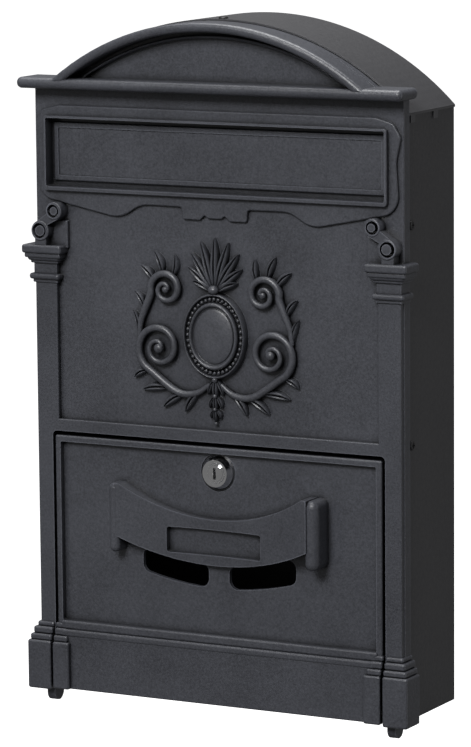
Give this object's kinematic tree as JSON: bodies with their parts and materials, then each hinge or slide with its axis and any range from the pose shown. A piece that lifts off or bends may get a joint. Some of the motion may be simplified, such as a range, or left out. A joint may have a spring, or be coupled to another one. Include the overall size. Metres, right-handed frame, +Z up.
{
  "type": "wall mounted mailbox",
  "caption": "Wall mounted mailbox with a cast classical front, a letter slot with an inward flap, a locking drop-down door with a name-plate ribbon, and an arched sheet housing.",
  "frame": {"origin": "centre of the four wall-screw holes, in the plane of the housing's back face that bears on the wall", "axes": "+Z up, +Y into the wall, +X to the right as seen from the front; the front faces -Y"},
  "size_m": [0.2604, 0.088, 0.4258],
  "materials": {
    "cast_coat": "cast aluminium with a fine-textured charcoal powder coat, satin",
    "sheet_coat": "folded sheet steel with a smooth dark charcoal powder coat, satin",
    "black_steel": "blackened steel, satin",
    "rivet_aluminium": "plain aluminium, satin",
    "zinc_steel": "bright zinc plate",
    "lock_chrome": "polished chrome plate"
  },
  "bodies": {
    "box": {"front_casting": "cast_coat", "crest_relief": "cast_coat", "housing_wrap": "sheet_coat", "roof_sheet": "sheet_coat", "floor_panel": "sheet_coat", "side_screws": "black_steel", "roof_screw": "black_steel", "floor_rivets": "rivet_aluminium", "flap_rod": "zinc_steel", "rod_clips": "zinc_steel", "door_hinge_pins": "zinc_steel"},
    "door": {"door_casting": "cast_coat", "lock_body": "lock_chrome", "lock_washer": "zinc_steel", "lock_nut": "zinc_steel"},
    "lock": {"lock_plug": "lock_chrome", "lock_cam": "zinc_steel", "cam_washer": "zinc_steel", "cam_screw": "zinc_steel"},
    "flap": {"letter_flap": "cast_coat"}
  },
  "joints": [
    {"name": "door_hinge", "type": "hinge", "parent": "box", "child": "door", "pos_m": [0, -0.07, -0.2], "axis": [1, 0, 0], "range_deg": [0, 110]},
    {"name": "flap_hinge", "type": "hinge", "parent": "box", "child": "flap", "pos_m": [0, -0.065, 0.1526], "axis": [1, 0, 0], "range_deg": [0, 80]},
    {"name": "lock_turn", "type": "hinge", "parent": "door", "child": "lock", "pos_m": [0, -0.0712, -0.0614], "axis": [0, -1, 0], "range_deg": [0, 90]}
  ]
}
